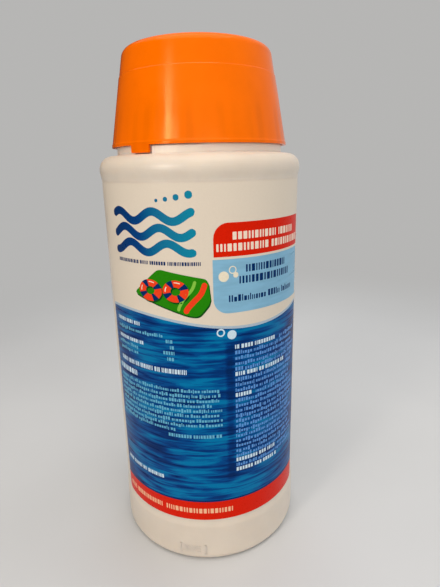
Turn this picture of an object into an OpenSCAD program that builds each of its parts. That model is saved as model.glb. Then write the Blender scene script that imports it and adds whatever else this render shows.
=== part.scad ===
// Round bottle of pool chlorine granules with a tall tapered child-resistant screw cap.
// Millimetres. +Z is up. The origin is the centre of the foot, on the surface it stands on,
// and the front of the bottle faces -Y.

/* [Bottle] */
// Outside diameter of the heel and shoulder bumpers
bottle_d = 119.4; // [114:0.2:124]
// Height of the shoulder above the foot
shoulder_h = 246; // [225:1:265]
// Wall thickness of the blown body
wall_t = 1.8; // [1.4:0.1:2.2]
// How far the label panel is set in from the bumpers
panel_recess = 0.8; // [0.6:0.1:1.4]
// Height of the heel bumper
heel_h = 25; // [20:1:34]
// Radius of the heel corner
heel_r = 5; // [3:0.5:6]
// Radius of the shoulder corner
shoulder_r = 7.5; // [6:0.5:8]
// Height of the push-up in the middle of the base
push_up = 4.5; // [3:0.5:6]

/* [Neck] */
// Outside diameter of the collar that carries the lock ramps
collar_d = 97.4; // [96:0.2:97.4]
// Outside diameter of the threaded neck, without its thread
neck_d = 73.6; // [72.8:0.2:74]
// Bore of the mouth
mouth_d = 69.2; // [66:0.2:70]
// Advance of the two-start thread in one turn
thread_lead = 10; // [9:0.5:11]
// Height of the thread ridges
thread_h = 1.2; // [1:0.1:1.3]
// Turns of each ridge on the neck
neck_turns = 1.25; // [1:0.05:1.3]
// Turns of each ridge in the cap
cap_turns = 1; // [0.6:0.05:1]

/* [Cap] */
// Height of the cap, from the lip of its skirt to its top
cap_h = 51.9; // [50:0.1:54]
// Gap between the shoulder and the lip of the skirt
skirt_gap = 4.6; // [4.2:0.1:5.2]
// Outside diameter of the lip of the skirt
lip_d = 103; // [102.6:0.1:103.6]
// Taper of the skirt to each side, in degrees
taper = 10; // [9.4:0.1:10.2]
// Wall thickness of the skirt
skirt_t = 1.8; // [1.6:0.1:2]
// Radius of the top edge
cap_edge_r = 4.8; // [4:0.2:5.2]
// Number of stiffening ribs between the threaded ring and the skirt
rib_count = 16; // [8:1:20]

/* [Child lock] */
// Direction of the front lock tab, in degrees from +X
tab_angle = -127; // [-140:1:-110]
// Width of a lock tab, in degrees
tab_span = 13.8; // [10:0.1:18]
// Height of a lock tab
tab_h = 3.9; // [3.4:0.1:4]
// Length of a lock ramp, in degrees
ramp_span = 31; // [20:1:40]
// Height of a ramp's steep end above the collar
ramp_rise = 1.2; // [1:0.1:1.2]

/* [Contents and labels] */
// Height of the granules at the wall
fill_h = 220; // [60:1:222]
// Width of the front label around the bottle, in degrees
front_label_span = 135; // [110:1:150]
// Direction of the middle of the front label, in degrees from +X
front_label_middle = -88; // [-95:1:-85]
// Width of the back label around the bottle, in degrees
back_label_span = 112; // [80:1:130]
// Thickness of the label film
label_t = 0.25; // [0.2:0.05:0.3]

/* [Hidden] */
$fn = 96;

// Clearance between pieces that move past each other, and overlap of pieces moulded as one
gap = 0.3;
bury = 0.6;

// Body
bottle_r = bottle_d / 2;
panel_r = bottle_r - panel_recess;
ledge_h = 5.5;
panel_z0 = heel_h;
panel_z1 = shoulder_h - shoulder_r - 0.5;
label_margin = 0.7;
label_z0 = panel_z0 + ledge_h + label_margin;
label_z1 = panel_z1 - ledge_h - label_margin;
foot_r = 48;

// Neck, from the shoulder up
collar_r = collar_d / 2;
collar_h = 5.4;
collar_z = shoulder_h + collar_h;
neck_r = neck_d / 2;
mouth_r = mouth_d / 2;
neck_z = shoulder_h + 21.5;
land_z = shoulder_h + 52.2;
neck_thread_z = shoulder_h + 35.5;

// Cap
lip_z = shoulder_h + skirt_gap;
lip_r = lip_d / 2;
lip_h = 1.4;
cap_z = lip_z + cap_h;
plate_z = land_z + 2.1;
step_z = cap_z - 15;
step_in = 0.3;
ring_z = cap_z - 26;
ring_r = neck_r + thread_h + 0.35;
ring_t = 1.95;
web_z = cap_z - 10;

// Lock
tab_in = 50.2;
tab_out = lip_r + 0.1;
tab_side_gap = 0.9;

// Points of an arc about c, from angle a0 to angle a1
function arc(c, r, a0, a1, steps = 12) =
    [for (i = [0 : steps]) let (a = a0 + (a1 - a0) * i / steps) [c[0] + r * cos(a), c[1] + r * sin(a)]];

// Points of a soft step in a wall, from radius r0 at height z0 up to radius r1 at height z1
function ledge(r0, z0, r1, z1, steps = 6) =
    [for (i = [0 : steps]) [r0 + (r1 - r0) * (1 - cos(180 * i / steps)) / 2, z0 + (z1 - z0) * i / steps]];

// Points of the domed base, from the axis out to radius r, raised by lift
function dome(r, lift, steps = 8) =
    [for (i = [0 : steps - 1]) [r * i / steps, lift + push_up * (1 - pow(i / steps, 2))]];

// The same points in the other order
function backwards(points) = [for (i = [len(points) - 1 : -1 : 0]) points[i]];

// Outside radius of the skirt's cone at height z
function skirt_r(z) = lip_r - 0.4 - (z - lip_z - 2.2) * tan(taper) - (z > step_z ? step_in : 0);

// Inside radius of the skirt's cone at height z
function skirt_in(z) = skirt_r(z) - skirt_t / cos(taper);

// Four corners of a thread ridge at angle a and height z, from the axis outwards
function ridge_corners(a, z, r_in, half_in, r_out, half_out) = [
    [r_in * cos(a), r_in * sin(a), z - half_in],
    [r_out * cos(a), r_out * sin(a), z - half_out],
    [r_out * cos(a), r_out * sin(a), z + half_out],
    [r_in * cos(a), r_in * sin(a), z + half_in]];

// A thread ridge that climbs from z0, and runs out into the wall at both ends
module thread_ridge(root_r, crest_r, root_half, crest_half, turns, z0) {
    steps = round(turns * 40);
    run_out = 5;
    points = [for (i = [0 : steps])
        let (a = 360 * turns * i / steps,
             z = z0 + thread_lead * a / 360,
             share = max(0.02, min(1, i / run_out, (steps - i) / run_out)),
             tip_r = root_r + (crest_r - root_r) * share)
        each crest_r > root_r
            ? ridge_corners(a, z, root_r, root_half, tip_r, crest_half)
            : ridge_corners(a, z, tip_r, crest_half, root_r, root_half)];
    sides = [for (i = [0 : steps - 1], j = [0 : 3])
        let (a = 4 * i + j, b = 4 * i + (j + 1) % 4)
        each [[a, b, b + 4], [a, b + 4, a + 4]]];
    ends = [[3, 2, 1], [3, 1, 0],
            [4 * steps, 4 * steps + 1, 4 * steps + 2], [4 * steps, 4 * steps + 2, 4 * steps + 3]];
    polyhedron(points, concat(sides, ends));
}

// Both starts of a thread
module two_start() {
    for (a = [0, 180]) rotate([0, 0, a]) children();
}

// A saw-tooth on the collar: the tab rides up its slope and drops in behind its steep end
module lock_ramp() {
    steps = 10;
    foot_rise = 0.35;
    slope = [for (i = [0 : steps])
        let (a = ramp_span * i / steps, r = collar_r + ramp_rise - (ramp_rise - foot_rise) * i / steps)
        [r * cos(a), r * sin(a)]];
    root = arc([0, 0], collar_r - 1, ramp_span, 0, steps);
    translate([0, 0, shoulder_h - 1])
        rotate([0, 0, tab_angle + tab_span / 2 + tab_side_gap])
            linear_extrude(height = 4.9)
                polygon(concat(slope, root));
}

// Blown body, shoulder, collar, neck and mouth as one hollow wall
module bottle_wall() {
    outside = concat(
        dome(foot_r - 2, 0.6),
        [[foot_r - 2, 0.6], [foot_r, 0]],
        arc([bottle_r - heel_r, heel_r], heel_r, -90, 0),
        ledge(bottle_r, panel_z0, panel_r, panel_z0 + ledge_h),
        ledge(panel_r, panel_z1 - ledge_h, bottle_r, panel_z1),
        arc([bottle_r - shoulder_r, shoulder_h - shoulder_r], shoulder_r, 0, 90),
        [[collar_r + 1, shoulder_h + 0.2], [collar_r, shoulder_h + 0.8],
         [collar_r, collar_z - 1], [collar_r - 1, collar_z], [collar_r - 3.2, collar_z + 0.4],
         [neck_r + 0.6, neck_z - 1], [neck_r, neck_z], [neck_r, land_z - 0.8], [neck_r - 0.6, land_z]]);
    inside = concat(
        [[mouth_r + 0.4, land_z], [mouth_r, land_z - 0.4], [mouth_r, neck_z - 1.2],
         [collar_r - 5.4, collar_z - 1], [collar_r - wall_t - 0.4, collar_z - wall_t],
         [collar_r - wall_t, collar_z - wall_t - 0.8], [collar_r - wall_t, shoulder_h - wall_t + 0.4]],
        arc([bottle_r - shoulder_r, shoulder_h - shoulder_r], shoulder_r - wall_t, 90, 0),
        backwards(ledge(panel_r - wall_t, panel_z1 - ledge_h, bottle_r - wall_t, panel_z1)),
        backwards(ledge(bottle_r - wall_t, panel_z0, panel_r - wall_t, panel_z0 + ledge_h)),
        arc([bottle_r - heel_r, heel_r], heel_r - wall_t, 0, -90),
        [[foot_r + 0.5, wall_t], [foot_r - 2, wall_t + 0.6]],
        backwards(dome(foot_r - 2, wall_t + 0.6)));
    rotate_extrude() polygon(concat(outside, inside));
}

module bottle() {
    color("white") {
        bottle_wall();
        two_start() thread_ridge(neck_r - bury, neck_r + thread_h, 1.5, 0.6, neck_turns, neck_thread_z);
        two_start() lock_ramp();
    }
}

// Granules filling the body to just under the shoulder, a little heaped in the middle
module chlorine_granules() {
    fill_r = panel_r - wall_t - gap;
    color("gainsboro")
        rotate_extrude()
            polygon(concat(
                dome(foot_r - 2, wall_t + 1),
                [[foot_r - 2, wall_t + 1], [foot_r + 2, wall_t + 0.6]],
                arc([fill_r - 3, wall_t + 3.6], 3, -90, 0, 4),
                [[fill_r, fill_h], [fill_r * 0.6, fill_h + 2.5],
                 [fill_r * 0.25, fill_h + 4], [0, fill_h + 4.4]]));
}

// A film label on the panel, centred on the direction middle
module label(span, middle, z0, z1) {
    rotate([0, 0, middle - span / 2])
        rotate_extrude(angle = span)
            translate([panel_r, z0])
                square([label_t, z1 - z0]);
}

module front_label() {
    color("steelblue") label(front_label_span, front_label_middle, label_z0, label_z1);
}

// The back label is shorter than the front one, at both ends
module back_label() {
    raise = 12;
    drop = 22;
    color("lightsteelblue") label(back_label_span, 90, label_z0 + raise, label_z1 - drop);
}

// A rib between the threaded ring and the skirt
module cap_rib() {
    rib_t = 0.9;
    ring_out = ring_r + ring_t;
    rotate([90, 0, 0])
        translate([0, 0, -rib_t / 2])
            linear_extrude(height = rib_t)
                polygon([[ring_out - bury, web_z + bury], [ring_out - bury, ring_z + 6],
                         [skirt_in(ring_z + 9) + bury, ring_z + 9], [skirt_in(web_z) + bury, web_z + bury]]);
}

// Skirt, top plate and threaded ring as one moulding
module cap_wall() {
    edge_z = cap_z - cap_edge_r;
    edge_in = skirt_r(edge_z) - cap_edge_r / cos(taper);
    ring_out = ring_r + ring_t;
    rotate_extrude()
        polygon(concat(
            [[lip_r - 1.6, lip_z], [lip_r, lip_z], [lip_r, lip_z + lip_h],
             [skirt_r(lip_z + 2.2), lip_z + 2.2],
             [skirt_r(step_z), step_z], [skirt_r(step_z + 0.4), step_z + 0.4]],
            arc([edge_in, edge_z], cap_edge_r, taper, 90),
            [[edge_in - 1.4, cap_z], [edge_in - 2, cap_z - 0.4], [0, cap_z - 0.4], [0, plate_z],
             [ring_r, plate_z], [ring_r, ring_z + 0.8], [ring_r + 0.5, ring_z], [ring_out - 0.3, ring_z],
             [ring_out, ring_z + 0.6], [ring_out, web_z], [skirt_in(web_z), web_z],
             [skirt_in(lip_z + 2.4), lip_z + 2.4]]));
}

module cap() {
    // the cap's ridges lie just under the neck's
    below = 2.05;
    color("darkorange") {
        cap_wall();
        for (i = [0 : rib_count - 1]) rotate([0, 0, 360 * i / rib_count]) cap_rib();
        two_start()
            thread_ridge(ring_r + bury, ring_r - thread_h, 1.25, 0.5, cap_turns, neck_thread_z - below);
    }
}

// Soft disc between the mouth and the top plate
module cap_liner() {
    color("whitesmoke")
        translate([0, 0, land_z + 0.1])
            cylinder(h = plate_z - land_z - 0.2, r = ring_r - 0.45);
}

// A catch on the lip of the skirt, seen in section and swept along the lip
module lock_tab(direction) {
    color("darkorange")
        rotate([0, 0, direction - tab_span / 2])
            rotate_extrude(angle = tab_span)
                polygon([[tab_in, lip_z], [tab_in, lip_z - tab_h + 0.6], [tab_in + 0.4, lip_z - tab_h],
                         [tab_out - 0.3, lip_z - tab_h], [tab_out, lip_z - tab_h + 0.3], [tab_out, lip_z]]);
}

module lock_tab_front() {
    lock_tab(tab_angle);
}

module lock_tab_rear() {
    lock_tab(tab_angle + 180);
}

bottle();
chlorine_granules();
front_label();
back_label();
cap();
cap_liner();
lock_tab_front();
lock_tab_rear();
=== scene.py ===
"""Looks for the pool chlorine granule bottle: moulded plastics, printed labels, granules and a studio."""
import math
import random

import bmesh
import bpy
from mathutils import Matrix, Vector, noise
from mathutils.bvhtree import BVHTree


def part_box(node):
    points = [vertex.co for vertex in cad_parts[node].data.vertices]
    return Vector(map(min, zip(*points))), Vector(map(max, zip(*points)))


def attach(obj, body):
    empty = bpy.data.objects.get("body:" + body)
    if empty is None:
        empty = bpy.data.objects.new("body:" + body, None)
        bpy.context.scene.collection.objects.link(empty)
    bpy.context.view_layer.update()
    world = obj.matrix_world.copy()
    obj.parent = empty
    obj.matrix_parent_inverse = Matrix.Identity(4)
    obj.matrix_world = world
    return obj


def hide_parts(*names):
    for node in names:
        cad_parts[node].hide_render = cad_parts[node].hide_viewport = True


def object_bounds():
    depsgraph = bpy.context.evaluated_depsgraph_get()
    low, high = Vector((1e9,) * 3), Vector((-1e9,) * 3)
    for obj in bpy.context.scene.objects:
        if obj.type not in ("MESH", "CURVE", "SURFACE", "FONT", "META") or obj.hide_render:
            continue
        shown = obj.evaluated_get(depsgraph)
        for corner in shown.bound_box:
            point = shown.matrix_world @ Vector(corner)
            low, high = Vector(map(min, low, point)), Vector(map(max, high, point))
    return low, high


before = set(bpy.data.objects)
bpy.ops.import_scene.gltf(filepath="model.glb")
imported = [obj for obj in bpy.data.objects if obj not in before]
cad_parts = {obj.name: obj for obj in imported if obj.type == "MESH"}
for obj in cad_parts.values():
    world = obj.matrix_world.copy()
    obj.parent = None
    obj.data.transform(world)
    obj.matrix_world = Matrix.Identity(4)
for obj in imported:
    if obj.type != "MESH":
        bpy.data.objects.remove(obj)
cad_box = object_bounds()

MM = 0.001
TURN = 2 * math.pi


# ---------------------------------------------------------------- colours

def srgb(red, green, blue):
    """A colour from 0 to 255, as the linear RGBA that a shader takes"""
    def linear(value):
        value /= 255
        return value / 12.92 if value <= 0.04045 else ((value + 0.055) / 1.055) ** 2.4
    return (linear(red), linear(green), linear(blue), 1)


BOTTLE_WHITE = srgb(224, 212, 198)
# Painted light: a whiter white for the neck, which lifts it out of the shade under the cap's skirt
NECK_PAINTED_LIGHT = srgb(250, 240, 226)
FILM_WHITE = srgb(222, 212, 197)
CAP_ORANGE = srgb(252, 114, 0)
CAP_GLEAM = (1, 0.7, 0.3, 1)
NAVY = srgb(0, 44, 98)
DEEP_BLUE = srgb(0, 66, 140)
LEAF_GREEN = srgb(36, 132, 8)
PALE_GREEN = srgb(132, 196, 70)
DARK_GREEN = srgb(14, 74, 22)
FLAME_RED = srgb(217, 30, 2)
CORAL = srgb(238, 66, 30)
SKY = srgb(131, 184, 216)
SKY_EDGE = srgb(172, 192, 208)
PALE_PRINT = srgb(244, 226, 208)
PEACH = srgb(244, 188, 150)
CREAM = srgb(236, 228, 206)
TEXT_BLUE = srgb(100, 176, 208)
TEXT_LILAC = srgb(92, 150, 220)
TEXT_BRIGHT = srgb(204, 228, 244)
GRANULE_WHITE = srgb(242, 241, 236)
FOAM_WHITE = srgb(238, 238, 234)
FLOOR_GREY = srgb(202, 206, 210)
CARD_GREY = srgb(58, 57, 55)
SURROUND = (0.47, 0.466, 0.458, 1)


# ---------------------------------------------------------------- materials

class Nodes:
    """Adds nodes to a material's tree, one call each"""

    def __init__(self, name, material=None):
        self.material = material or bpy.data.materials.new(name)
        self.material.use_nodes = True
        self.tree = self.material.node_tree
        self.shader = self.tree.nodes["Principled BSDF"]

    @classmethod
    def onto(cls, material):
        """More nodes for a material that is there already"""
        return cls(material.name, material)

    def set(self, node, inputs):
        """Sets each named input to a value, or links another node's output to it"""
        for name, value in inputs.items():
            socket = next(s for s in node.inputs if name in (s.identifier, s.name))
            if isinstance(value, bpy.types.NodeSocket):
                self.tree.links.new(value, socket)
            else:
                socket.default_value = value

    def add(self, kind, inputs, **settings):
        """A new node, and its first enabled output"""
        node = self.tree.nodes.new(kind)
        for name, value in settings.items():
            setattr(node, name, value)
        self.set(node, inputs)
        return next(s for s in node.outputs if s.enabled)

    def object_place(self):
        return self.tree.nodes.new("ShaderNodeTexCoord").outputs["Object"]

    def uv_place(self):
        return self.tree.nodes.new("ShaderNodeTexCoord").outputs["UV"]

    def parts(self, place):
        """The x, y and z of a place"""
        node = self.tree.nodes.new("ShaderNodeSeparateXYZ")
        self.tree.links.new(place, node.inputs[0])
        return node.outputs

    def feeding(self, name):
        """The output that is linked to a shader's input now"""
        return self.shader.inputs[name].links[0].from_socket

    def stretch(self, place, scale, offset=(0, 0, 0)):
        return self.add("ShaderNodeMapping", {"Vector": place, "Scale": scale, "Location": offset})

    def noise(self, place, scale, detail=2.0, roughness=0.5, distortion=0.0):
        return self.add("ShaderNodeTexNoise", {"Vector": place, "Scale": scale, "Detail": detail,
                                               "Roughness": roughness, "Distortion": distortion})

    def spread(self, value, low, high, start=0.0, end=1.0):
        """value from start..end laid onto low..high, smoothly and clamped"""
        return self.add("ShaderNodeMapRange", {"Value": value, "From Min": start, "From Max": end,
                                               "To Min": low, "To Max": high},
                        interpolation_type="SMOOTHSTEP")

    def math(self, operation, a, b=0.0):
        return self.add("ShaderNodeMath", {"Value": a, "Value_001": b}, operation=operation)

    def mix(self, share, a, b):
        return self.add("ShaderNodeMix", {"Factor_Float": share, "A_Color": a, "B_Color": b},
                        data_type="RGBA")

    def ramp(self, value, stops):
        """A colour ramp through (position, colour) stops"""
        node = self.tree.nodes.new("ShaderNodeValToRGB")
        points = node.color_ramp.elements
        while len(points) < len(stops):
            points.new(0.5)
        for point, (position, color) in zip(points, stops):
            point.position = position
            point.color = color
        self.tree.links.new(value, node.inputs["Fac"])
        return node.outputs["Color"]

    def mottled(self, value, color, share, start=0.3, end=0.7):
        """The colour, down to that share darker where the value is low"""
        return self.mix(self.spread(value, 0, 1, start, end), shaded(color, share), color)

    def bump(self, height, depth, normal=None):
        inputs = {"Height": height, "Distance": depth, "Strength": 1.0}
        if normal is not None:
            inputs["Normal"] = normal
        return self.add("ShaderNodeBump", inputs)


def shaded(color, share):
    """The colour, darker by that share"""
    return (*[channel * (1 - share) for channel in color[:3]], 1)


def moulded_plastic(name, color, roughness, ior, gleam=(1, 1, 1, 1), grain=(1.1, 0.012), swell=(34, 0.25),
                    inside=0.0):
    """Plastic with a fine moulded grain and a slow swell, each (size, depth) in millimetres. gleam tints
    its reflections, and inside is how much light goes into it."""
    n = Nodes(name)
    place = n.object_place()
    slow = n.noise(place, 1 / (swell[0] * MM), detail=1)
    fine = n.noise(place, 1 / (grain[0] * MM), detail=2)
    cloudy = n.noise(place, 1 / (18 * MM), detail=4, roughness=0.6)
    n.set(n.shader, {
        "Base Color": n.mottled(cloudy, color, 0.05),
        "Roughness": n.spread(cloudy, roughness - 0.05, roughness + 0.06, 0.3, 0.7),
        "Normal": n.bump(fine, grain[1] * MM, n.bump(slow, swell[1] * MM)),
        "IOR": ior,
        "Specular Tint": gleam})
    if inside:
        n.set(n.shader, {"Subsurface Weight": inside, "Subsurface Scale": 5 * MM,
                         "Subsurface Radius": (1.0, 0.8, 0.6)})
    return n.material


def sink_marks_and_painted_shade(material, color, low, high, count, depth):
    """Shallow upright hollows round a skirt, full below the low height and gone above the high one, with
    painted shade that darkens the colour most in the hollows and a little over the rest of that zone.
    Patches make some of them weaker than others."""
    phase, patch_size = 2.1, 13 * MM
    n = Nodes.onto(material)
    place = n.object_place()
    x, y, z = n.parts(place)
    turn = n.math("ADD", n.math("MULTIPLY", n.math("ARCTAN2", y, x), count), phase)
    wave = n.math("SINE", turn)
    patches = n.noise(n.stretch(place, (1, 1, 0.2)), 1 / patch_size, detail=1)
    uneven = n.spread(patches, 0.25, 1, 0.35, 0.62)
    zone = n.math("MULTIPLY", n.spread(z, 1, 0, low, high), uneven)
    # Painted shade: darkest in the hollows, and a little darker over the whole lower skirt
    painted_hollow_shade = n.math("MULTIPLY", n.spread(wave, 1.0, 0.35, -1, 1), zone)
    n.set(n.shader, {"Normal": n.bump(n.math("MULTIPLY", wave, zone), depth, n.feeding("Normal")),
                     "Base Color": n.mix(painted_hollow_shade, n.feeding("Base Color"), shaded(color, 0.13))})


def painted_neck_light(material, color, low, high):
    """A whiter neck above the shoulder: painted light that lifts it out of the shade under the cap's skirt
    """
    n = Nodes.onto(material)
    share = n.spread(n.parts(n.object_place())[2], 0, 1, low, high)
    n.set(n.shader, {"Base Color": n.mix(share, n.feeding("Base Color"), color)})


INK_IOR = 1.22
INK_GRAIN = 0.9 * MM
FILM_SWELL = 14 * MM
FILM_SWELL_DEPTH = 0.05 * MM


def tinted(color):
    """A pale tint of the colour, which keeps a saturated ink's sheen from washing it out"""
    white = 0.3
    return (*[white + (1 - white) * channel / max(color[:3]) for channel in color[:3]], 1)


def printed_ink(name, color, roughness=0.3, variation=0.06):
    """Ink on film: faintly mottled, with the film's own slight unevenness"""
    n = Nodes(name)
    place = n.object_place()
    mottle = n.noise(place, 1 / INK_GRAIN, detail=3)
    film = n.noise(place, 1 / FILM_SWELL, detail=1)
    n.set(n.shader, {
        "Base Color": n.mottled(mottle, color, variation),
        "Roughness": n.spread(mottle, roughness - 0.03, roughness + 0.05, 0.3, 0.7),
        "Normal": n.bump(film, FILM_SWELL_DEPTH),
        "IOR": INK_IOR,
        "Specular Tint": tinted(color)})
    return n.material


def blended_ink(name, stops):
    """Ink whose colour changes from left to right through (centimetres, colour) stops"""
    n = Nodes(name)
    across = n.parts(n.uv_place())[0]
    left, right = stops[0][0], stops[-1][0]
    share = n.add("ShaderNodeMapRange", {"Value": across, "From Min": left, "From Max": right})
    mottle = n.noise(n.object_place(), 1 / INK_GRAIN, detail=3)
    n.set(n.shader, {
        "Base Color": n.ramp(share, [((u - left) / (right - left), color) for u, color in stops]),
        "Roughness": n.spread(mottle, 0.27, 0.35, 0.3, 0.7),
        "IOR": INK_IOR})
    return n.material


# Four tones from navy to teal, each nearly flat, with short steps between them
WATER_TONES = [(0.40, srgb(0, 36, 92)), (0.425, srgb(0, 46, 110)), (0.462, srgb(0, 52, 118)),
               (0.474, srgb(0, 67, 134)), (0.506, srgb(0, 72, 138)), (0.518, srgb(0, 92, 151)),
               (0.55, srgb(0, 97, 156)), (0.562, srgb(0, 114, 168))]


def water_print(name):
    """Printed pool water: level streaks of navy, blue and teal, darker in the gutter and behind the right
    column of print, with painted shade at the left end. UVs are centimetres."""
    gutter_middle, column_start = 1.3, 1.6
    print_bottom, print_top = 5.6, 14.9
    painted_shade_left, painted_shade_fade = -6.4, -4.2
    n = Nodes(name)
    place = n.uv_place()
    streaks = n.noise(n.stretch(place, (0.3, 3.4, 1)), 1.3, detail=3, roughness=0.5, distortion=0.35)
    threads = n.noise(n.stretch(place, (0.22, 7.0, 1), (1.7, 0.3, 0)), 1.5, detail=2, roughness=0.55)
    patches = n.noise(n.stretch(place, (0.42, 1.0, 1), (3.1, 0.4, 0)), 0.8, detail=2, roughness=0.45)
    u, v = n.parts(place)[:2]
    gutter = n.math("ABSOLUTE", n.math("SUBTRACT", u, gutter_middle))
    gutter = n.spread(gutter, 0.07, 0.0, 0.06, 0.34)
    column = n.spread(u, 0, 0.02, gutter_middle, column_start)
    beside_print = n.math("MULTIPLY", n.spread(v, 0, 1, print_bottom, print_bottom + 1),
                          n.spread(v, 1, 0, print_top - 0.6, print_top))
    darker = n.math("MULTIPLY", n.math("ADD", column, gutter), beside_print)
    # Painted shade: the water's colour darker towards the label's left end
    darker = n.math("ADD", darker, n.spread(u, 0.03, 0, painted_shade_left, painted_shade_fade))
    value = n.math("ADD", n.math("MULTIPLY", streaks, 0.5), n.math("MULTIPLY", patches, 0.36))
    value = n.math("ADD", value, n.math("MULTIPLY", threads, 0.14))
    value = n.math("SUBTRACT", value, darker)
    film = n.noise(n.object_place(), 1 / FILM_SWELL, detail=1)
    n.set(n.shader, {
        "Base Color": n.ramp(value, WATER_TONES),
        "Roughness": n.spread(streaks, 0.27, 0.34, 0.3, 0.7),
        "Normal": n.bump(film, FILM_SWELL_DEPTH),
        "IOR": INK_IOR,
        "Specular Tint": (0.3, 0.65, 1, 1)})
    return n.material


def sky_print(name):
    """The pale panel, printed with the faintest of ripples"""
    n = Nodes(name)
    ripples = n.noise(n.stretch(n.uv_place(), (0.4, 2.2, 1)), 1.6, detail=3, roughness=0.55, distortion=0.5)
    n.set(n.shader, {
        "Base Color": n.mottled(ripples, SKY, 0.09, 0.35, 0.65),
        "Roughness": n.spread(ripples, 0.27, 0.34, 0.3, 0.7), "IOR": INK_IOR})
    return n.material


def granule_salt(name):
    """White crystals that differ a little in tone and sparkle"""
    n = Nodes(name)
    place = n.object_place()
    tone = n.noise(place, 1 / (1.3 * MM), detail=2)
    grit = n.noise(place, 1 / (0.35 * MM), detail=3)
    n.set(n.shader, {
        "Base Color": n.mottled(tone, GRANULE_WHITE, 0.22, 0.35, 0.65),
        "Roughness": n.spread(tone, 0.42, 0.75, 0.3, 0.7),
        "Normal": n.bump(grit, 0.05 * MM)})
    return n.material


def foam(name):
    """Closed-cell foam faced with film"""
    n = Nodes(name)
    place = n.object_place()
    cells = n.add("ShaderNodeTexVoronoi", {"Vector": place, "Scale": 1 / (0.55 * MM)})
    tone = n.noise(place, 1 / (9 * MM), detail=3)
    n.set(n.shader, {
        "Base Color": n.mottled(tone, FOAM_WHITE, 0.08),
        "Roughness": n.spread(tone, 0.55, 0.7, 0.3, 0.7),
        "Normal": n.bump(cells, 0.03 * MM)})
    return n.material


def studio_floor(name):
    """A pale matt floor that melts into the surround away from the object"""
    fade_start, fade_end = 0.2, 0.8
    n = Nodes(name)
    place = n.object_place()
    tone = n.noise(place, 6, detail=3)
    n.set(n.shader, {
        "Base Color": n.mottled(tone, FLOOR_GREY, 0.03),
        "Roughness": n.spread(tone, 0.55, 0.65, 0.3, 0.7)})
    away = n.add("ShaderNodeVectorMath", {"Vector": place}, operation="LENGTH")
    surround = n.add("ShaderNodeEmission", {"Color": SURROUND, "Strength": 1.0})
    output = n.tree.nodes["Material Output"]
    n.set(output, {"Surface": n.add("ShaderNodeMixShader", {
        "Fac": n.spread(away, 0, 1, fade_start, fade_end),
        "Shader": n.shader.outputs[0],
        "Shader_001": surround})})
    return n.material


# ---------------------------------------------------------------- meshes

def finished(name, mesh, material, body, crease=35):
    """Smooths the mesh up to its creases, and hangs it on its body"""
    mesh.shade_smooth()
    mesh.set_sharp_from_angle(angle=math.radians(crease))
    mesh.materials.append(material)
    piece = bpy.data.objects.new(name, mesh)
    bpy.context.scene.collection.objects.link(piece)
    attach(piece, body)
    return piece


def skin(mesh_kit, rungs, uvs, loop=False):
    """Closed skin through rungs of as many points each; a loop joins its last rung to its first"""
    bm, uv_layer = mesh_kit
    rows = [[bm.verts.new(point) for point in rung] for rung in rungs]
    count = len(rows[0])

    def face(corners):
        made = bm.faces.new([rows[i][j] for i, j in corners])
        for corner, (i, j) in zip(made.loops, corners):
            corner[uv_layer].uv = uvs[i][j]

    for i in range(len(rows) if loop else len(rows) - 1):
        after = (i + 1) % len(rows)
        for j in range(count):
            side = (j + 1) % count
            face([(i, j), (i, side), (after, side), (after, j)])
    if not loop:
        face([(0, j) for j in range(count - 1, -1, -1)])
        face([(len(rows) - 1, j) for j in range(count)])


def mesh_from(name, build):
    """A mesh whose closed skins are made by build((bm, uv_layer))"""
    bm = bmesh.new()
    build((bm, bm.loops.layers.uv.new("UVMap")))
    bmesh.ops.recalc_face_normals(bm, faces=bm.faces)
    mesh = bpy.data.meshes.new(name)
    bm.to_mesh(mesh)
    bm.free()
    return mesh


def slab(name, patches, place, low, high):
    """A mesh of thin closed slabs. A patch is a list of rungs, each two (u, v) points in millimetres;
    place(u, v, height) puts them on the object, and UVs are centimetres."""
    def build(kit):
        for patch in patches:
            loop = patch[0] == patch[-1]
            rungs = patch[:-1] if loop else patch
            corners = [[place(*a, high), place(*b, high), place(*b, low), place(*a, low)] for a, b in rungs]
            uvs = [[(p[0] / 10, p[1] / 10) for p in (a, b, b, a)] for a, b in rungs]
            skin(kit, corners, uvs, loop)
    return mesh_from(name, build)


def lathe(name, profile, sides=128, lift=None):
    """A closed solid of revolution through (radius, height) points in metres. lift(x, y, z) moves a point
    up."""
    def build(kit):
        rungs = []
        for radius, height in profile:
            ring = []
            for k in range(sides):
                x = radius * math.cos(TURN * k / sides)
                y = radius * math.sin(TURN * k / sides)
                ring.append(Vector((x, y, height + (lift(x, y, height) if lift else 0))))
            rungs.append(ring)
        skin(kit, rungs, [[(p.x * 100, p.y * 100) for p in ring] for ring in rungs])
    return mesh_from(name, build)


def wall_finder(node):
    """A function that measures how far a CAD node's outside is from the axis, at an angle and a height"""
    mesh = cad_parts[node].data
    tree = BVHTree.FromPolygons([v.co for v in mesh.vertices], [p.vertices for p in mesh.polygons])

    def radius(angle, height):
        out = Vector((math.sin(angle), -math.cos(angle), 0))
        hit = tree.ray_cast(out + Vector((0, 0, height)), -out)[0]
        return hit.xy.length
    return radius


# ---------------------------------------------------------------- flat shapes, in millimetres

def between(start, end, step=1.6):
    """Evenly spaced values from start to end, no further apart than step"""
    count = max(1, math.ceil(abs(end - start) / step))
    return [start + (end - start) * i / count for i in range(count + 1)]


def bar(left, right, low, high):
    """A plain rectangle"""
    return [((u, low), (u, high)) for u in between(left, right)]


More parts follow.
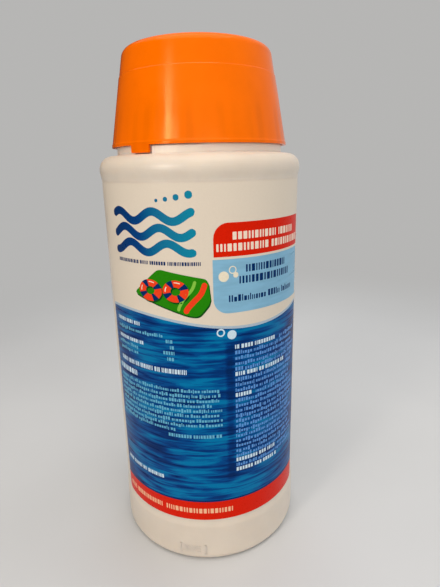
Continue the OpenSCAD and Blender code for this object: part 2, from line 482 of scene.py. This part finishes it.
def pill(left, right, low, high, radii):
    """A rectangle with rounded corners: radii of the top left, top right, bottom right and bottom left"""
    def inset(u, left_r, right_r):
        for radius, depth in ((left_r, left + left_r - u), (right_r, u - right + right_r)):
            if radius and depth > 0:
                return radius - math.sqrt(max(0, radius * radius - depth * depth))
        return 0
    top_left, top_right, low_right, low_left = radii
    stops = set(between(left, right))
    corners = ((max(top_left, low_left), left, 1), (max(top_right, low_right), right, -1))
    for radius, corner, side in corners:
        stops |= {corner + side * radius * (1 - math.cos(math.radians(a))) for a in range(0, 91, 15)}
    return [((u, low + inset(u, low_left, low_right)), (u, high - inset(u, top_left, top_right)))
            for u in sorted(stops)]


def disc(u, v, radius):
    """A round dot"""
    count = max(8, math.ceil(radius * 5))
    angles = [math.pi * i / count for i in range(1, count)]
    return [((u - radius * math.cos(a), v - radius * math.sin(a)),
             (u - radius * math.cos(a), v + radius * math.sin(a))) for a in angles]


def ring(u, v, outer, inner, squash=1.0, start=0.0, end=360.0):
    """A ring, or the part of one between two angles"""
    count = max(6, math.ceil((end - start) / 9))
    angles = [math.radians(start + (end - start) * i / count) for i in range(count + 1)]
    patch = [((u + outer * math.cos(a), v + outer * squash * math.sin(a)),
              (u + inner * math.cos(a), v + inner * squash * math.sin(a))) for a in angles]
    if end - start >= 360:
        patch[-1] = patch[0]
    return patch


def ribbon(path, width):
    """A band of that width along a path, with round ends"""
    points = [Vector(point) for point in path]
    gone = [0.0]
    for here, there in zip(points, points[1:]):
        gone.append(gone[-1] + (there - here).length)
    radius = width / 2
    patch = []
    for i, point in enumerate(points):
        along = (points[min(len(points) - 1, i + 1)] - points[max(0, i - 1)]).normalized()
        short = radius - min(radius, gone[i] + 0.02, gone[-1] - gone[i] + 0.02)
        half = math.sqrt(radius * radius - short * short)
        patch.append(((point.x + along.y * half, point.y - along.x * half),
                      (point.x - along.y * half, point.y + along.x * half)))
    return patch


def smooth_path(points):
    """A Catmull-Rom curve through a few points"""
    per_span = 6
    ends = [points[0], *points, points[-1]]
    path = []
    for i in range(1, len(ends) - 2):
        a, b, c, d = [Vector(p) for p in ends[i - 1:i + 3]]
        for k in range(per_span):
            t = k / per_span
            path.append(tuple(0.5 * (2 * b + (c - a) * t + (2 * a - 5 * b + 4 * c - d) * t ** 2
                                     + (3 * b - a - 3 * c + d) * t ** 3)))
    return [*path, tuple(points[-1])]


def rounded_outline(corners, radius):
    """The outline of a polygon with its corners rounded off"""
    outline = []
    for i, corner in enumerate(corners):
        here = Vector(corner)
        start = here + (Vector(corners[i - 1]) - here).normalized() * radius
        end = here + (Vector(corners[(i + 1) % len(corners)]) - here).normalized() * radius
        for k in range(6):
            t = k / 5
            outline.append(start * (1 - t) ** 2 + here * 2 * t * (1 - t) + end * t ** 2)
    return outline


def filled(outline):
    """A patch that fills a convex outline"""
    edges = list(zip(outline, outline[1:] + outline[:1]))
    left, right = min(p.x for p in outline), max(p.x for p in outline)
    patch = []
    for u in between(left + 0.01, right - 0.01, 0.8):
        crossings = [a.y + (b.y - a.y) * (u - a.x) / (b.x - a.x) for a, b in edges
                     if a.x != b.x and min(a.x, b.x) <= u <= max(a.x, b.x)]
        patch.append(((u, min(crossings)), (u, max(crossings))))
    return patch


# ---------------------------------------------------------------- blocks that stand for print

def small_print(left, right, base, height, rng, capitals=False):
    """Rows of plain blocks in word-like groups, which hold no letters"""
    patches = []
    u = left
    while u < right:
        for _ in range(rng.randint(2, 9)):
            width = height * rng.choice((0.26, 0.5, 0.56, 0.62))
            if u + width > right:
                return patches
            rise = 1 if capitals or rng.random() < 0.3 else 0.7
            drop = 0 if capitals or rng.random() < 0.88 else 0.26
            patches.append([((s, base - height * drop), (s, base + height * rise)) for s in (u, u + width)])
            u += width + height * 0.24
        u += height * 0.34
    return patches


def heading(left, right, base, height, words, rng, mixed=False):
    """Rounded blocks in groups of the given counts, spread to fill the row"""
    gap, space = 0.22, 0.62
    widths = [[rng.choice((0.22, 0.28, 0.42, 0.56)) for _ in range(count)] for count in words]
    natural = sum(sum(w) + gap * (len(w) - 1) for w in widths) + space * (len(words) - 1)
    unit = (right - left) / natural
    patches = []
    u = left
    for word in widths:
        for i, width in enumerate(word):
            rise = height if not mixed or i == 0 or rng.random() < 0.3 else height * 0.72
            corner = min(0.3, width * unit * 0.3)
            patches.append(pill(u, u + width * unit, base, base + rise, (corner,) * 4))
            u += (width + gap) * unit
        u += (space - gap) * unit
    return patches


# ---------------------------------------------------------------- the label's cylinder

label_low, label_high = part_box("front_label")
FILM_R = -label_low.y
FILM_THICK = 0.25 * MM
INK = 0.03 * MM
LABEL_BOTTOM = label_low.z / MM
LABEL_TOP = label_high.z / MM
LABEL_LEFT = -67.6
LABEL_RIGHT = 71.7
BACK_HALF = 57.8
CORNER = 2.5
BACK_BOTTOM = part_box("back_label")[0].z / MM
BACK_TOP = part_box("back_label")[1].z / MM


def wrapped(middle):
    """Places (u, v) around the bottle: u runs right from the direction middle, v up from the foot"""
    def place(u, v, height):
        angle = middle + u * MM / FILM_R
        radius = FILM_R + height
        return Vector((radius * math.sin(angle), -radius * math.cos(angle), v * MM))
    return place


on_front = wrapped(0)
on_back = wrapped(math.pi)


def inked(name, patches, material, layer=1, place=on_front):
    """Printed shapes, on the layer-th film of ink"""
    mesh = slab(name, patches, place, (layer - 1.3) * INK, layer * INK)
    return finished(name, mesh, material, "bottle")


def film(name, left, right, low, high, place, node):
    """The label's own film, which stands for its CAD node"""
    patch = pill(left, right, low, high, (CORNER,) * 4)
    material = printed_ink(name, FILM_WHITE, roughness=0.36, variation=0.02)
    piece = finished(name, slab(name, [patch], place, -FILM_THICK, 0), material, "bottle")
    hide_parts(node)


# ---------------------------------------------------------------- front label

WATER_CREST_U = -50
WATER_MEAN = 158.2
WATER_SWING = 4.1
WATER_LENGTH = 156
WATER_EDGE = 1.5
BAND_TOP = 44.1
KEEL_TOP = 45.3


def water_top(u):
    """Height of the water's edge"""
    return WATER_MEAN + WATER_SWING * math.cos(TURN * (u - WATER_CREST_U) / WATER_LENGTH)


def front_panels(ink):
    """The large printed areas"""
    across = between(LABEL_LEFT, LABEL_RIGHT, 1.0)
    water = [((u, KEEL_TOP), (u, water_top(u))) for u in across]
    edge = [((u, water_top(u)), (u, water_top(u) + WATER_EDGE)) for u in across]
    inked("front_water", [water], water_print("water_print"))
    inked("front_water_edge", [edge], ink["sky_edge"])
    inked("front_keel_line", [bar(LABEL_LEFT, LABEL_RIGHT, BAND_TOP, KEEL_TOP)], ink["navy"])
    inked("front_red_areas", [
        pill(LABEL_LEFT, LABEL_RIGHT, LABEL_BOTTOM, BAND_TOP, (0, 0, CORNER, CORNER)),
        pill(5.3, LABEL_RIGHT, 194.3, 211.8, (8, 0, 0, 0))], ink["red"])
    inked("front_sky_area", [pill(4.7, LABEL_RIGHT, 163.6, 193.0, (0, 0, 0, 8))], sky_print("sky_print"))


MARK_LEFT = -55.5
MARK_RIGHT = -3.5
MARK_WAVES = 2.25
MARK_SWING = 2.5
MARK_LINE = 4.3


def front_mark(ink):
    """A plain mark of three even waves, with a row of growing dots over them"""
    length = (MARK_RIGHT - MARK_LEFT) / MARK_WAVES
    waves = []
    for height, shift in ((215.4, 0), (207.2, 4), (199.2, 8)):
        path = [(u, height + MARK_SWING * math.sin(TURN * (u - MARK_LEFT - shift) / length))
                for u in between(MARK_LEFT, MARK_RIGHT, 0.5)]
        waves.append(ribbon(path, MARK_LINE))
    inked("front_mark_waves", waves, ink["mark"])
    inked("front_mark_dots", [
        disc(-23.4, 223.4, 0.9), disc(-18.4, 224.0, 1.2), disc(-12.8, 224.9, 1.6), disc(-6.4, 226.1, 2.0)],
        ink["mark"])


def front_towel(ink):
    """A striped towel with two swim rings on it"""
    corners = [(-41, 172.8), (-24.3, 187.2), (2.6, 182.0), (3.9, 169.4), (-2.6, 161.6), (-8, 162.0)]
    outline = rounded_outline(corners, 2.6)
    shifted = [Vector((p.x - 0.5, p.y + 0.9)) for p in outline]
    inked("front_towel_edge", [filled(outline)], ink["dark_green"])
    inked("front_towel", [filled(shifted)], ink["green"], layer=2)
    pale = smooth_path([(-4.6, 182.2), (-6.4, 177.6), (-10.6, 172.8), (-13.4, 168.2), (-14.2, 165.6)])
    coral = smooth_path([(0.6, 181.2), (-1.6, 175.4), (-6.0, 170.6), (-9.4, 166.6), (-10.0, 164.2)])
    inked("front_towel_pale_stripe", [ribbon(pale, 1.7)], ink["pale_green"], layer=3)
    inked("front_towel_coral_stripe", [ribbon(coral, 3.0)], ink["coral"], layer=3)
    centres = [(-30.2, 176.2), (-15.4, 176.4)]
    squash = 0.84
    tube = (7.2, 2.7, squash)
    gleam = (6.0, 5.4, squash)
    inked("front_swim_ring_shadows", [
        ring(u + 0.7, v - 0.9, *tube) for u, v in centres], ink["dark_green"], layer=3)
    inked("front_swim_rings", [ring(u, v, *tube) for u, v in centres], ink["coral"], layer=4)
    inked("front_swim_ring_bands", [
        ring(u, v, *tube, a - 15, a + 15) for u, v in centres for a in (30, 120, 210, 300)],
        ink["navy"], layer=5)
    inked("front_swim_ring_gleams", [
        ring(u, v, *gleam, a, a + 34) for u, v in centres for a in (62, 150)], ink["pale_print"], layer=5)


def front_headings(ink, rng):
    """Rows of blocks where the label's headings are, and the bubbles beside them"""
    inked("front_pale_headings", [
        *heading(15.5, 61.5, 203.0, 4.0, (12, 8), rng),
        *heading(6.8, 69.8, 197.1, 4.0, (13, 13), rng)], ink["pale_print"], layer=2)
    inked("front_band_heading", [
        *heading(-64, -31.8, 36.0, 3.4, (6, 16), rng),
        *heading(-28.8, 13.4, 36.0, 3.4, (21,), rng)], ink["peach"], layer=2)
    inked("front_navy_headings", [
        *heading(22.9, 52.3, 185.4, 4.0, (15,), rng),
        *heading(19.0, 56.7, 179.4, 4.1, (17,), rng),
        *heading(13.0, 61.2, 169.8, 3.7, (14, 6, 8), rng, mixed=True),
        *heading(-53.5, -1.4, 190.2, 2.0, (15, 6, 7, 17), rng)], ink["navy"], layer=2)
    inked("front_panel_bubbles", [
        disc(10.4, 183.9, 2.8), disc(17.0, 184.4, 1.5), ring(15.3, 187.2, 2.1, 1.6)], ink["cream"], layer=2)
    inked("front_water_bubbles", [
        ring(8.2, 152.9, 2.3, 1.5), disc(14.4, 151.2, 2.6)], ink["text_bright"], layer=2)


LEFT_ROWS = 9
LEFT_ROW = 3.12
RIGHT_ROWS = 25
RIGHT_ROW = 3.28
RIGHT_START = 16.1
BOLD_ROWS = {0: 46, 5: 53.5, 9: 27, 22: 46, 24: 48}  # a right row's number, and where its bold print ends


def front_small_print(ink, rng):
    """The fine print over the water, in two columns"""
    strong = [*small_print(-61.8, -38.0, 154.2, 2.2, rng, True),
              *small_print(-61.4, -37.9, 143.2, 2.1, rng, True),
              *heading(-61.0, -11.3, 128.6, 2.8, (7, 5, 3, 8, 3, 13), rng),
              *heading(-64.4, -45.2, 122.0, 3.4, (10,), rng),
              *heading(-64.0, -29.4, 57.4, 2.6, (5, 8, 3, 9), rng)]
    faint = [*small_print(-61.7, -24.1, 149.7, 2.0, rng),
             *small_print(-62.2, -42.4, 139.8, 2.0, rng),
             *small_print(-60.6, -41.8, 136.3, 2.0, rng)]
    for base, left in ((146.7, -22.6), (143.2, -20.2), (139.9, -24.4), (136.3, -22.2)):
        faint += small_print(left, -17.2, base, 2.0, rng, True)
    for i in range(LEFT_ROWS):
        right = -19.3 if i == LEFT_ROWS - 1 else 8.2 - rng.choice((0, 0.6, 1.8, 5.5))
        faint += small_print(-63.4, right, 117.6 - LEFT_ROW * i, 2.05, rng)
    faint += small_print(-24.1, 8.6, 88.3, 2.1, rng, True)
    lilac = []
    for i in range(RIGHT_ROWS):
        base = 142.6 - RIGHT_ROW * i
        start = RIGHT_START
        if i in BOLD_ROWS:
            strong += small_print(start, BOLD_ROWS[i], base, 2.4, rng, True)
            start = BOLD_ROWS[i] + 2
        if i != RIGHT_ROWS - 1:
            lilac += small_print(start, 67.5 - rng.choice((0, 1, 3, 6)), base, 2.15, rng)
    inked("front_bright_print", strong, ink["text_bright"], layer=2)
    inked("front_left_print", faint, ink["text_blue"], layer=2)
    inked("front_right_print", lilac, ink["text_lilac"], layer=2)


# ---------------------------------------------------------------- back label

BACK_ROWS = 27
BACK_ROW = 3.3
HEADER_BASE = 190


def back_art(ink, rng):
    """Directions in two columns, a ruled table and a block of bars, all without letters"""
    left, right = -BACK_HALF, BACK_HALF

    def printed(name, patches, material, layer=1):
        inked(name, patches, material, layer, on_back)

    printed("back_header", [pill(left, right, HEADER_BASE, BACK_TOP, (CORNER, CORNER, 0, 0))], ink["deep"])
    printed("back_red_areas", [
        bar(left, right, HEADER_BASE - 2.6, HEADER_BASE),
        bar(left, right, BACK_BOTTOM + 4, BACK_BOTTOM + 6)], ink["red"])
    printed("back_pale_print", [
        *heading(-50, 6, 200.2, 4.2, (12, 5, 8), rng),
        *small_print(-50, 30, 194.2, 2.4, rng)], ink["pale_print"], 2)
    printed("back_bubbles", [
        ring(38, 199.6, 4.2, 3.1), ring(45.4, 203.2, 2.4, 1.6), disc(46.4, 196.6, 1.5)], ink["cream"], 2)
    rows = []
    for start in (-52, 3):
        rows += heading(start, start + 30, 180.6, 3.0, (8, 10), rng)
        for i in range(BACK_ROWS):
            base = 175.6 - BACK_ROW * i
            if i % 7 == 6:
                rows += small_print(start, start + 26, base, 2.3, rng, True)
            else:
                rows += small_print(start, start + 48 - rng.choice((0, 1, 3, 9)), base, 2.1, rng)
    for i in range(4):
        for start, end in ((-50, -30), (-24, -8), (0, 14)):
            rows += small_print(start, end, 73.6 - 6 * i, 2.3, rng, i == 0)
    printed("back_navy_print", rows, ink["navy"], 2)
    rule = 0.35
    rules = [bar(-52, 20, v, v + rule) for v in (78.4, 72.2, 66.2, 60.2, 54.2)]
    rules += [bar(u, u + rule, 54.2, 78.6) for u in (-52, -27, -3, 19.8)]
    printed("back_table_rules", rules, ink["deep"])
    bars, u = [], 27
    while u < 50:
        width = rng.choice((0.35, 0.7, 1.05))
        bars.append(bar(u, u + width, 54.5, 77))
        u += width + rng.choice((0.45, 0.8))
    printed("back_bars", bars, ink["navy"])


# ---------------------------------------------------------------- moulded details

def ridge(kit, spine, half_width, rise, side):
    """A low moulded ridge along spine, a list of (point, outward direction); side is its width direction"""
    rungs = [[p + side * half_width - out * rise, p + out * rise, p - side * half_width - out * rise]
             for p, out in spine]
    skin(kit, rungs, [[(0, i), (0.1, i), (0.2, i)] for i in range(len(rungs))])


def parting_lines(material):
    """The blow mould's parting line, up both sides of the body"""
    wall = wall_finder("bottle")
    turn_in = 238.5 * MM
    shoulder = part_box("cap")[0].z - 4.7 * MM
    half_width, rise, sunk = 0.3 * MM, 0.09 * MM, 0.02 * MM
    heights = [2 * MM, 3 * MM, 5 * MM, *[v * MM for v in between(10, 235, 7)], turn_in]
    heights += [turn_in + (shoulder - turn_in) * math.sin(math.radians(a)) for a in range(15, 86, 14)]

    def build(kit):
        for angle in (-math.pi / 2, math.pi / 2):
            out = Vector((math.sin(angle), -math.cos(angle), 0))
            spine = [(out * (wall(angle, z) - sunk) + Vector((0, 0, z)), out) for z in heights]
            ridge(kit, spine, half_width, rise, Vector((0, 1, 0)))
    mesh = mesh_from("bottle_parting_lines", build)
    finished("bottle_parting_lines", mesh, material, "bottle", crease=60)


def heel_marks(material):
    """The mould's batch mark on the heel: two brackets with plain ticks between them"""
    soft = (0.3,) * 4
    patches = [pill(u, u + 0.9, 5.4, 12.6, soft) for u in (-20.5, -4.5)]
    patches += [pill(u, u + 1.7, v, v + 0.8, soft) for u in (-20.5, -5.3) for v in (5.4, 11.8)]
    patches += [pill(u, u + 0.9, 6.8, 11.2, soft) for u in (-17.4, -15.6, -13.8)]
    patches += [pill(-11.4, -7.2, v, v + 0.8, soft) for v in (6.8, 8.6, 10.4)]
    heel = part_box("bottle")[1].x - FILM_R
    sunk, proud = 0.25 * MM, 0.22 * MM
    mesh = slab("bottle_batch_mark", patches, on_front, heel - sunk, heel + proud)
    finished("bottle_batch_mark", mesh, material, "bottle")


def cap_top_marks(material):
    """Two raised arrows that say which way to turn, a rim line, and the mould's gate in the middle"""
    recess, sunk, proud = 0.4 * MM, 0.1 * MM, 0.38 * MM
    arrow_r, shaft_half, head_half, tip_half = 28, 1.6, 4.2, 0.05
    shaft_span, head_span = 100, 17
    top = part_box("cap")[1].z - recess

    def flat(u, v, height):
        return Vector((u * MM, v * MM, top + height))

    patches = []
    for start in (20, 200):
        shaft_end = start + shaft_span
        head = []
        for i in range(7):
            a = math.radians(shaft_end + head_span * i / 6)
            half = head_half * (1 - i / 6) + tip_half
            head.append(((math.cos(a) * (arrow_r + half), math.sin(a) * (arrow_r + half)),
                         (math.cos(a) * (arrow_r - half), math.sin(a) * (arrow_r - half))))
        patches += [ring(0, 0, arrow_r + shaft_half, arrow_r - shaft_half, 1, start, shaft_end), head]
    patches += [ring(0, 0, 34.6, 34.0), ring(0, 0, 6.4, 5.8), disc(0, 0, 1.4)]
    mesh = slab("cap_top_marks", patches, flat, -sunk, proud)
    finished("cap_top_marks", mesh, material, "cap")


# ---------------------------------------------------------------- liner and granules

def liner_disc(material):
    """The foam disc, with rounded edges and the mouth's imprint in its lower face"""
    low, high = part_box("cap_liner")
    edge = high.x
    middle = 1 * MM
    soft = 0.35 * MM
    mouth_r, imprint = 35.6 * MM, 0.18 * MM
    corner = (0, math.pi / 4, math.pi / 2)
    profile = [(middle, low.z)]
    profile += [(mouth_r + s * 0.5 * MM, low.z + imprint * math.exp(-s * s)) for s in range(-3, 4)]
    profile += [(edge - soft + soft * math.sin(a), low.z + soft - soft * math.cos(a)) for a in corner]
    profile += [(edge - soft + soft * math.cos(a), high.z - soft + soft * math.sin(a)) for a in corner]
    profile += [(middle, high.z)]
    piece = finished("liner_disc", lathe("liner_disc", profile), material, "liner")
    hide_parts("cap_liner")


def grain(kit, centre, size, rng):
    """One angular crystal: a squashed, skewed octahedron with its tips cut"""
    angle = rng.uniform(0, TURN)
    axis = Vector([rng.gauss(0, 1) for _ in range(3)]).normalized()
    turn = Matrix.Rotation(angle, 3, axis)
    stretch = [size * rng.uniform(0.7, 1.25) for _ in range(3)]
    rungs = []
    for height, radius in ((-0.5, 0.28), (-0.1, 0.55), (0.25, 0.5), (0.5, 0.22)):
        corners = [Vector((radius * math.cos(a), radius * math.sin(a), height))
                   for a in (0.2, 1.5, 2.7, 4.1, 5.2)]
        rungs.append([centre + turn @ Vector([c * s for c, s in zip(corner, stretch)])
                      for corner in corners])
    skin(kit, rungs, [[(0, 0)] * 5] * 4)


GRAIN_COUNT = 2600


def granule_fill(material, rng):
    """The fill: a rough-topped mass with loose crystals lying on it"""
    low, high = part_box("chlorine_granules")
    radius = high.x - 0.1 * MM
    heap = 4.4 * MM
    rim, crown = high.z - heap, high.z - 0.9 * MM
    bottom = low.z + 0.4 * MM

    def surface(r):
        return crown - (crown - rim) * (r / radius) ** 1.6

    def rough(x, y, z):
        if z < rim - 1 * MM:
            return 0
        here = Vector((x, y, 0))
        return (noise.noise(here / (7 * MM)) * 0.55 + noise.noise(here / (1.7 * MM)) * 0.3) * MM

    profile = [(4 * MM, bottom + 4.2 * MM), (24 * MM, bottom + 3.4 * MM), (44 * MM, bottom + 0.8 * MM),
               (radius - 3 * MM, bottom), (radius - 0.9 * MM, bottom + 0.9 * MM), (radius, bottom + 3 * MM)]
    profile += [(radius, z) for z in between(bottom + 20 * MM, rim - 6 * MM, 40 * MM)]
    profile += [(radius, rim - 2 * MM), (radius - 0.3 * MM, rim - 0.4 * MM)]
    profile += [(r, surface(r)) for r in between(radius - 1.2 * MM, 1.0 * MM, 1.3 * MM)]
    piece = finished("granule_fill", lathe("granule_fill", profile, 160, rough), material, "bottle")
    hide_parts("chlorine_granules")

    def build(kit):
        for _ in range(GRAIN_COUNT):
            r = (radius - 3 * MM) * math.sqrt(rng.random())
            a = rng.uniform(0, TURN)
            x, y = r * math.cos(a), r * math.sin(a)
            size = rng.uniform(0.8, 1.9) * MM
            z = surface(r) + rough(x, y, crown) + 0.12 * size
            grain(kit, Vector((x, y, z)), size, rng)
    loose = mesh_from("loose_granules", build)
    finished("loose_granules", loose, material, "bottle", crease=20)


# ---------------------------------------------------------------- studio

CAMERA_PLACE = (0, -0.281, 0.2387)
CAMERA_LENS = 27.04
CAMERA_YAW = 2.11
CAMERA_PITCH = 15.97
CAMERA_ROLL = 1.27


def add_camera():
    """A wide view from close in front, at the height of the shoulder and looking down to the foot"""
    data = bpy.data.cameras.new("camera")
    data.sensor_width = 36
    data.lens = CAMERA_LENS
    data.clip_start = 0.02
    camera = bpy.data.objects.new("camera", data)
    bpy.context.scene.collection.objects.link(camera)
    turn = Matrix.Rotation(-math.radians(CAMERA_YAW), 4, "Z")
    turn = turn @ Matrix.Rotation(math.radians(90 - CAMERA_PITCH), 4, "X")
    turn = turn @ Matrix.Rotation(-math.radians(CAMERA_ROLL), 4, "Z")
    camera.matrix_world = Matrix.Translation(CAMERA_PLACE) @ turn
    bpy.context.scene.camera = camera


WARM = (1.0, 0.88, 0.76)
NEUTRAL = (0.98, 0.985, 1.0)


def softbox(name, aim, size, radiance, color, diffuse=True, glossy=True):
    """A rectangular lamp turned to the middle of the object. aim is its azimuth (0 is in front, positive to
    the right), elevation and distance; size is its width and height. diffuse lights the surfaces, and
    glossy shows in their reflections."""
    azimuth, elevation, distance = aim
    width, height = size
    target = Vector((0, 0, (cad_box[0][2] + cad_box[1][2]) / 2))
    a, e = math.radians(azimuth), math.radians(elevation)
    away = Vector((math.sin(a) * math.cos(e), -math.cos(a) * math.cos(e), math.sin(e)))
    data = bpy.data.lights.new(name, "AREA")
    data.shape = "RECTANGLE"
    data.size, data.size_y = width, height
    data.energy = radiance * math.pi * width * height
    data.color = color
    lamp = bpy.data.objects.new(name, data)
    bpy.context.scene.collection.objects.link(lamp)
    lamp.location = target + away * distance
    lamp.rotation_euler = (-away).to_track_quat("-Z", "Y").to_euler()
    lamp.visible_camera = False
    lamp.visible_diffuse = diffuse
    lamp.visible_glossy = glossy


def flat_sheet(name, corners, material):
    """A flat four-cornered sheet for the studio, outside the object"""
    mesh = bpy.data.meshes.new(name)
    mesh.from_pydata(corners, [], [(0, 1, 2, 3)])
    mesh.materials.append(material)
    sheet = bpy.data.objects.new(name, mesh)
    bpy.context.scene.collection.objects.link(sheet)
    return sheet


def dark_cards():
    """Two dark cards on the left, hidden from the camera, which keep the left edges from washing out"""
    near, far, behind = (-1.0, -0.7), (-1.0, 0.95), (-0.25, 1.35)
    foot, top = 0.01, 1.35
    card = printed_ink("flag_card", CARD_GREY, roughness=0.8)
    for name, start, end in (("left_flag", near, far), ("rear_flag", far, behind)):
        corners = [(*start, foot), (*end, foot), (*end, top), (*start, top)]
        flat_sheet(name, corners, card).visible_camera = False


def add_studio():
    """A pale floor, soft lamps and an even pale surround"""
    half = 8
    flat_sheet("floor", [(-half, -half, 0), (half, -half, 0), (half, half, 0), (-half, half, 0)],
               studio_floor("studio_floor"))
    dark_cards()
    softbox("key", (-40, 21, 0.95), (0.145, 0.5), 11.2, WARM)
    softbox("gleam", (-37, 22, 0.95), (0.18, 0.26), 17, WARM, diffuse=False)
    softbox("front", (6, 18, 1.4), (1.0, 0.46), 1.8, WARM)
    softbox("overhead", (-6, 74, 1.1), (1.3, 1.0), 2.0, WARM)
    softbox("right_panel", (104, 24, 1.1), (0.9, 0.8), 0.9, NEUTRAL, glossy=False)
    softbox("rear", (176, 38, 1.3), (1.0, 0.7), 1.9, NEUTRAL, glossy=False)
    world = bpy.data.worlds.new("surround")
    bpy.context.scene.world = world
    world.use_nodes = True
    background = world.node_tree.nodes["Background"]
    background.inputs["Color"].default_value = SURROUND
    background.inputs["Strength"].default_value = 1.0
    bpy.context.scene.view_settings.view_transform = "Standard"


# ---------------------------------------------------------------- the object

INK_COLORS = {
    "navy": NAVY, "deep": DEEP_BLUE, "sky_edge": SKY_EDGE, "red": FLAME_RED, "coral": CORAL,
    "green": LEAF_GREEN, "pale_green": PALE_GREEN, "dark_green": DARK_GREEN, "pale_print": PALE_PRINT,
    "peach": PEACH, "cream": CREAM, "text_blue": TEXT_BLUE, "text_lilac": TEXT_LILAC,
    "text_bright": TEXT_BRIGHT}
MARK_TONES = [(-5.6, NAVY), (-3.5, srgb(0, 62, 128)), (-2.6, srgb(0, 100, 146)), (-0.4, srgb(0, 132, 164))]


def dress_cad_nodes(hdpe, orange):
    """Gives the CAD nodes that stay in view their plastics"""
    for node, material in (("bottle", hdpe), ("cap", orange), ("lock_tab_front", orange),
                           ("lock_tab_rear", orange)):
        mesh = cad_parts[node].data
        mesh.materials.clear()
        mesh.materials.append(material)


add_camera()
hdpe = moulded_plastic("bottle_hdpe", BOTTLE_WHITE, 0.4, 1.5, inside=0.4)
orange = moulded_plastic("cap_polypropylene", CAP_ORANGE, 0.15, 1.32, CAP_GLEAM,
                         grain=(0.8, 0.003), swell=(26, 0.1))
skirt_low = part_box("cap")[0].z
# Bump hollows round the lower skirt, with painted shade in the colour
sink_marks_and_painted_shade(orange, CAP_ORANGE, skirt_low + 13 * MM, skirt_low + 25 * MM, count=40, depth=0.038 * MM)
# Painted light on the neck, under the cap's skirt
painted_neck_light(hdpe, NECK_PAINTED_LIGHT, skirt_low - 5.5 * MM, skirt_low - 3.5 * MM)
ink = {name: printed_ink(f"ink_{name}", color) for name, color in INK_COLORS.items()}
ink["mark"] = blended_ink("ink_mark", MARK_TONES)

dress_cad_nodes(hdpe, orange)
parting_lines(hdpe)
heel_marks(hdpe)
cap_top_marks(orange)
film("front_label_film", LABEL_LEFT, LABEL_RIGHT, LABEL_BOTTOM, LABEL_TOP, on_front, "front_label")
film("back_label_film", -BACK_HALF, BACK_HALF, BACK_BOTTOM, BACK_TOP, on_back, "back_label")
front_panels(ink)
front_mark(ink)
front_towel(ink)
front_headings(ink, random.Random(11))
front_small_print(ink, random.Random(23))
back_art(ink, random.Random(37))
liner_disc(foam("liner_foam"))
granule_fill(granule_salt("chlorine_granules"), random.Random(51))
add_studio()
